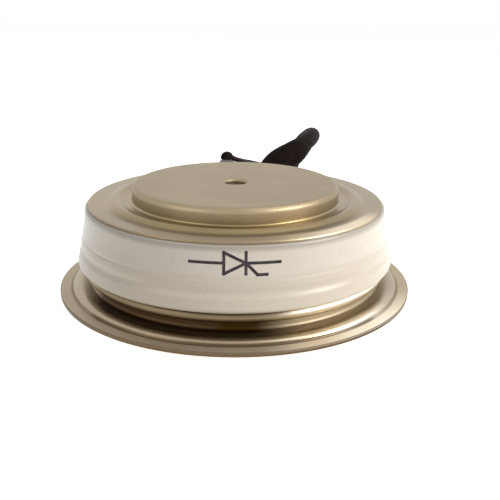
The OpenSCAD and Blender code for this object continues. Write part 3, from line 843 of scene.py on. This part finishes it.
class THYRISTOR_OT_lid(bpy.types.Operator):
    """Form the cathode lid, with its corrugation and its braze fillet"""

    bl_idname = "thyristor.lid"
    bl_label = "Cathode lid"

    def execute(self, context):
        s = context.scene.capsule_sizes
        valley, half = s.root_radius + 3.35 * MM, 0.8 * MM
        # The lid's cut edge gets painted shade, and its valley painted light and shade
        metal = sheet_finish(context.scene.finish_colours, "lid_metal", (s.lid_radius, 0.35),
                             hollow=(valley, half), satin=0.34)
        under = s.ceramic_top
        upper = under + s.lid_thickness
        wave = corrugation(s.root_radius, 3.4 * MM, high("cathode_lid").z - upper)
        wall = s.contact_radius - 0.01 * MM
        lid = turned("formed_lid", [
            (wall, under, 0), (wall, upper + 0.4 * MM, 0), (wall, upper, 0.36 * MM),
            *[(r, upper + h, 0) for r, h in wave],
            (s.lid_radius, upper, 0.25 * MM), (s.lid_radius, under, 0.08 * MM),
            *[(r, under + h, 0) for r, h in reversed(wave)]], metal, s.steps)
        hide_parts("cathode_lid")
        return {"FINISHED"}


# The groove and the fine line round the ceramic: height above its foot, half width and depth
GROOVES = ((2.85 * MM, 0.95 * MM, 0.22 * MM), (4.75 * MM, 0.35 * MM, 0.073 * MM))


def glaze_radius(sizes, height):
    """Outer radius of the ceramic at a height above its foot: two tapers, less the groove and the line."""
    tall = sizes.ceramic_top - sizes.ceramic_base
    bend = tall - 2.8 * MM
    bend_radius = sizes.ceramic_top_radius + 0.35 * MM
    if height < bend:
        radius = sizes.ceramic_foot_radius + (bend_radius - sizes.ceramic_foot_radius) * height / bend
    else:
        radius = bend_radius + (sizes.ceramic_top_radius - bend_radius) * (height - bend) / (tall - bend)
    for middle, half, depth in GROOVES:
        if abs(height - middle) < half:
            radius -= depth * (1 + cos(pi * (height - middle) / half)) / 2
    return radius


class THYRISTOR_OT_ceramic(bpy.types.Operator):
    """Turn the glazed ceramic ring, with the hole and the spot face of the gate tube"""

    bl_idname = "thyristor.ceramic"
    bl_label = "Ceramic ring"

    def execute(self, context):
        s = context.scene.capsule_sizes
        glaze = glaze_finish(context.scene.finish_colours, s.ceramic_base, s.ceramic_top)
        tall = s.ceramic_top - s.ceramic_base
        foot = 0.6 * MM
        crown = 0.4 * MM
        low_radius = glaze_radius(s, foot)
        high_radius = glaze_radius(s, tall - crown)
        count = 56
        heights = [foot + (tall - crown - foot) * i / count for i in range(1, count)]
        outline = [(s.ceramic_bore, 0, 0.15 * MM)]
        outline += arc((low_radius - foot, foot), foot, -90, -8, 8)
        outline += [(glaze_radius(s, h), h, 0) for h in heights]
        outline += arc((high_radius - crown, tall - crown), crown, 0, 90, 6)
        outline += [(s.ceramic_bore, tall, 0.15 * MM)]
        ring = turned("glazed_ring", [(r, h + s.ceramic_base, b) for r, h, b in outline], glaze,
                      s.steps)
        spot_radius = 2.25 * MM
        spot_face = glaze_radius(s, GATE_HEIGHT - s.ceramic_base) - 0.11 * MM
        inside, outside = 18 * MM, 30 * MM
        cut_away(ring, [round_cutter(TUBE_RADIUS, inside, outside, GATE_AXIS),
                        round_cutter(spot_radius, spot_face, outside, GATE_AXIS)])
        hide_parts("ceramic_ring")
        return {"FINISHED"}


# The circuit symbol of a thyristor, as strokes in millimetres from its middle
SYMBOL = [((-6.2, 0), (-1.5, 0)), ((1.5, 0), (6.2, 0)), ((1.5, -1.45), (1.5, 1.45)),
          ((-1.5, -1.45), (-1.5, 1.45)), ((-1.5, 1.45), (1.5, 0)), ((-1.5, -1.45), (1.5, 0)),
          ((1.5, 0), (3.1, -1.6)), ((3.1, -1.6), (4.4, -1.6))]
SYMBOL_PEN = 0.42
SYMBOL_SHIFT = 0.5
SYMBOL_HEIGHT = 7.05 * MM
INK_THICKNESS = 0.012 * MM


class THYRISTOR_OT_marking(bpy.types.Operator):
    """Print the general circuit symbol of a thyristor on the front of the ceramic"""

    bl_idname = "thyristor.marking"
    bl_label = "Circuit symbol"

    def execute(self, context):
        s = context.scene.capsule_sizes
        bm = bmesh.new()
        for start, end in SYMBOL:
            self.stroke(bm, Vector(start), Vector(end))
        middle = s.ceramic_base + SYMBOL_HEIGHT
        for vert in bm.verts:
            height = middle + vert.co.y * MM
            radius = glaze_radius(s, height - s.ceramic_base) + INK_THICKNESS
            turn = (vert.co.x + SYMBOL_SHIFT) * MM / radius
            vert.co = (radius * sin(turn), -radius * cos(turn), height)
        bmesh.ops.recalc_face_normals(bm, faces=bm.faces)
        make_piece("circuit_symbol", bm, ink_finish(context.scene.finish_colours))
        return {"FINISHED"}

    def stroke(self, bm, start, end):
        """A flat strip with square ends, cut often enough to wrap round the ceramic."""
        along = (end - start).normalized()
        side = Vector((-along.y, along.x)) * SYMBOL_PEN / 2
        reach = along * SYMBOL_PEN / 2
        corners = [bm.verts.new((p.x, p.y, 0)) for p in (start - reach - side, end + reach - side,
                                                         end + reach + side, start - reach + side)]
        face = bm.faces.new(corners)
        cuts = max(1, round((end - start).length / 0.5))
        bmesh.ops.subdivide_edges(bm, edges=[face.edges[0], face.edges[2]], cuts=cuts, use_grid_fill=True)


class THYRISTOR_OT_flange(bpy.types.Operator):
    """Form the seal sheet and the anode sheet that meet in the cold-welded rim"""

    bl_idname = "thyristor.flange"
    bl_label = "Weld flange"

    def execute(self, context):
        s = context.scene.capsule_sizes
        colours = context.scene.finish_colours
        rim = low("seal_sheet").z + s.seal_thickness
        flat = rim + 0.8 * MM
        neck = s.ceramic_bore + 2.2 * MM
        bulge = (s.ceramic_base - flat - 1.6 * MM) / 2 + 0.02 * MM
        centre = (neck + 1.35 * MM - bulge, s.ceramic_base - 0.16 * MM - bulge)
        rim_in = s.flange_radius - 1.9 * MM
        # The cut edge and the recess get painted shade, and the front right painted highlights
        metal = sheet_finish(colours, "seal_sheet_metal", (s.flange_radius, 0.75), recess=(
            neck + 0.8 * MM, neck + 2.2 * MM, centre[1], rim_in))
        across, down = 1.8 * MM, 0.62 * MM
        shoulder = [(rim_in - 0.08 * MM - across * (1 - cos(a)), flat - down * (1 - sin(a)), 0)
                    for a in (pi * i / 20 for i in range(11))]
        seal = formed_sheet("seal_flange", [
            (s.flange_radius, rim, 0), (rim_in, rim, 0.1 * MM), *shoulder,
            (neck, flat, 0.55 * MM), (neck, centre[1] - bulge - 0.1 * MM, 0.08 * MM),
            *arc(centre, bulge, -88, 84, 16), (s.ceramic_bore + 0.8 * MM, s.ceramic_base, 0)],
            s.seal_thickness, metal, s.steps)
        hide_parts("seal_sheet")
        level = low("seal_sheet").z
        wave_width, wave_rise = 3.2 * MM, 0.9 * MM
        wave = corrugation(s.root_radius + 2 * MM + wave_width, -wave_width, wave_rise)
        # The anode sheet's cut edge gets painted shade as well
        anode = formed_sheet("anode_diaphragm", [
            (s.flange_radius, level, 0), *[(r, level + h, 0) for r, h in wave],
            (s.contact_radius + 0.05 * MM, level, 0)], s.anode_sheet_thickness,
            sheet_finish(colours, "anode_sheet_metal", (s.flange_radius, 0.75)), s.steps)
        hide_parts("anode_sheet")
        return {"FINISHED"}


class THYRISTOR_OT_terminals(bpy.types.Operator):
    """Make the gate tube, the auxiliary cathode tab, its sleeve and its wire"""

    bl_idname = "thyristor.terminals"
    bl_label = "Gate tube and cathode tab"

    def execute(self, context):
        s = context.scene.capsule_sizes
        lead = context.scene.lead_sizes
        colours = context.scene.finish_colours
        metal = plain_finish("tube_nickel", colours.sheet, 0.3, 1.0)
        bore, collar_radius = 0.9 * MM, 2.2 * MM
        start = s.ceramic_bore - 0.8 * MM
        collar = glaze_radius(s, GATE_HEIGHT - s.ceramic_base) - 0.1 * MM
        collar_top = collar + 0.5 * MM
        closed = TUBE_END - 0.6 * MM
        tube = turned("gate_tube_piece", [
            (bore, start, 0.05 * MM), (TUBE_RADIUS, start, 0.05 * MM), (TUBE_RADIUS, collar, 0),
            (collar_radius, collar, 0.05 * MM), (collar_radius, collar_top, 0.15 * MM),
            (TUBE_RADIUS, collar_top, 0.2 * MM), (TUBE_RADIUS, TUBE_END, 0.2 * MM), (0, TUBE_END, 0),
            (0, closed, 0), (bore, closed, 0)], metal, 64, GATE_AXIS)
        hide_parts("gate_tube")
        tin = plain_finish("tinned_tab_metal", (0.34, 0.335, 0.32), 0.4, 1.0, bump=8e-6)
        softened("cathode_tab", tin, 0.07 * MM)
        sleeve = plain_finish("shrunk_sleeve", colours.black, 0.75, variation=0.4, bump=1.5e-5,
                              Specular_IOR_Level=0.05)
        foot = low("tab_sleeve").z
        top = high("tab_sleeve").z
        radius = 1.3 * MM
        cap = turned("tab_sleeve_piece", [
            (0, foot, 0), (radius * 0.97, foot, 0.1 * MM), (radius, foot + 0.3 * MM, 0),
            *arc((0, top - radius), radius, 0, 90, 10)], sleeve, 48,
            Matrix.Translation((JOINT_AT.x, JOINT_AT.y, 0)))
        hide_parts("tab_sleeve")
        points = route(WIRE_FROM_JOINT, JOINT_AT) + route(WIRE_TO_BOOT, LEAD_AT)
        skin = plain_finish("wire_insulation", colours.black, 0.5, variation=0.2, Specular_IOR_Level=0.2)
        wire = soft_line("cathode_wire_piece", points, lead.wire_diameter, skin)
        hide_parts("cathode_wire")
        return {"FINISHED"}


class THYRISTOR_OT_silicon_stack(bpy.types.Operator):
    """Give the sealed inner parts their own finishes"""

    bl_idname = "thyristor.silicon_stack"
    bl_label = "Silicon stack"

    def execute(self, context):
        silver = plain_finish("soft_silver", (0.84, 0.83, 0.80), 0.3, 1.0)
        molybdenum = plain_finish("ground_molybdenum", (0.42, 0.42, 0.43), 0.42, 1.0, 0.15)
        polymer = plain_finish("white_polymer_part", (0.88, 0.87, 0.83), 0.5)
        finishes = {
            "anode_shim": silver, "cathode_shim": silver, "anode_moly_disc": molybdenum,
            "cathode_moly_disc": molybdenum, "silicon_wafer": silicon_finish(),
            "edge_seal": plain_finish("silicone_edge", (0.78, 0.77, 0.72), 0.55, Subsurface_Weight=0.3),
            "centring_ring": polymer, "gate_cup": plain_finish("bare_alumina_cup", (0.86, 0.83, 0.78), 0.6),
            "gate_pin": silver, "gate_springs": plain_finish("blued_spring", (0.40, 0.40, 0.43), 0.35, 1.0),
            "gate_lead": silver, "gate_lead_sleeve": polymer,
        }
        for node, material in finishes.items():
            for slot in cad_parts[node].material_slots:
                slot.link = "OBJECT"
                slot.material = material
        return {"FINISHED"}


class THYRISTOR_PT_build(bpy.types.Panel):
    """Lists the pieces, the sizes, the colours and the stage's settings"""

    bl_label = "Disc thyristor"
    bl_space_type = "VIEW_3D"
    bl_region_type = "UI"
    bl_category = "Thyristor"

    def draw(self, context):
        for operator in OPERATORS:
            self.layout.operator(operator.bl_idname)
        for name in SETTINGS:
            group = getattr(context.scene, name)
            for prop in group.bl_rna.properties:
                if prop.identifier not in ("rna_type", "name"):
                    self.layout.prop(group, prop.identifier)


SETTINGS = {"capsule_sizes": CapsuleSizes, "lead_sizes": LeadSizes, "finish_colours": FinishColours,
            "stage_settings": StageSettings}
OPERATORS = (THYRISTOR_OT_stage, THYRISTOR_OT_gate_lead, THYRISTOR_OT_boot, THYRISTOR_OT_contacts,
             THYRISTOR_OT_lid, THYRISTOR_OT_ceramic, THYRISTOR_OT_marking, THYRISTOR_OT_flange,
             THYRISTOR_OT_terminals, THYRISTOR_OT_silicon_stack)
CLASSES = (*SETTINGS.values(), *OPERATORS, THYRISTOR_PT_build)


def register():
    for holder in CLASSES:
        bpy.utils.register_class(holder)
    for name, holder in SETTINGS.items():
        setattr(bpy.types.Scene, name, PointerProperty(type=holder))


def unregister():
    for name in SETTINGS:
        delattr(bpy.types.Scene, name)
    for holder in reversed(CLASSES):
        bpy.utils.unregister_class(holder)


def main():
    register()
    bpy.ops.thyristor.stage()
    bpy.ops.thyristor.gate_lead()
    bpy.ops.thyristor.boot()
    bpy.ops.thyristor.contacts()
    bpy.ops.thyristor.lid()
    bpy.ops.thyristor.ceramic()
    bpy.ops.thyristor.marking()
    bpy.ops.thyristor.flange()
    bpy.ops.thyristor.terminals()
    bpy.ops.thyristor.silicon_stack()


if __name__ == "__main__":
    main()
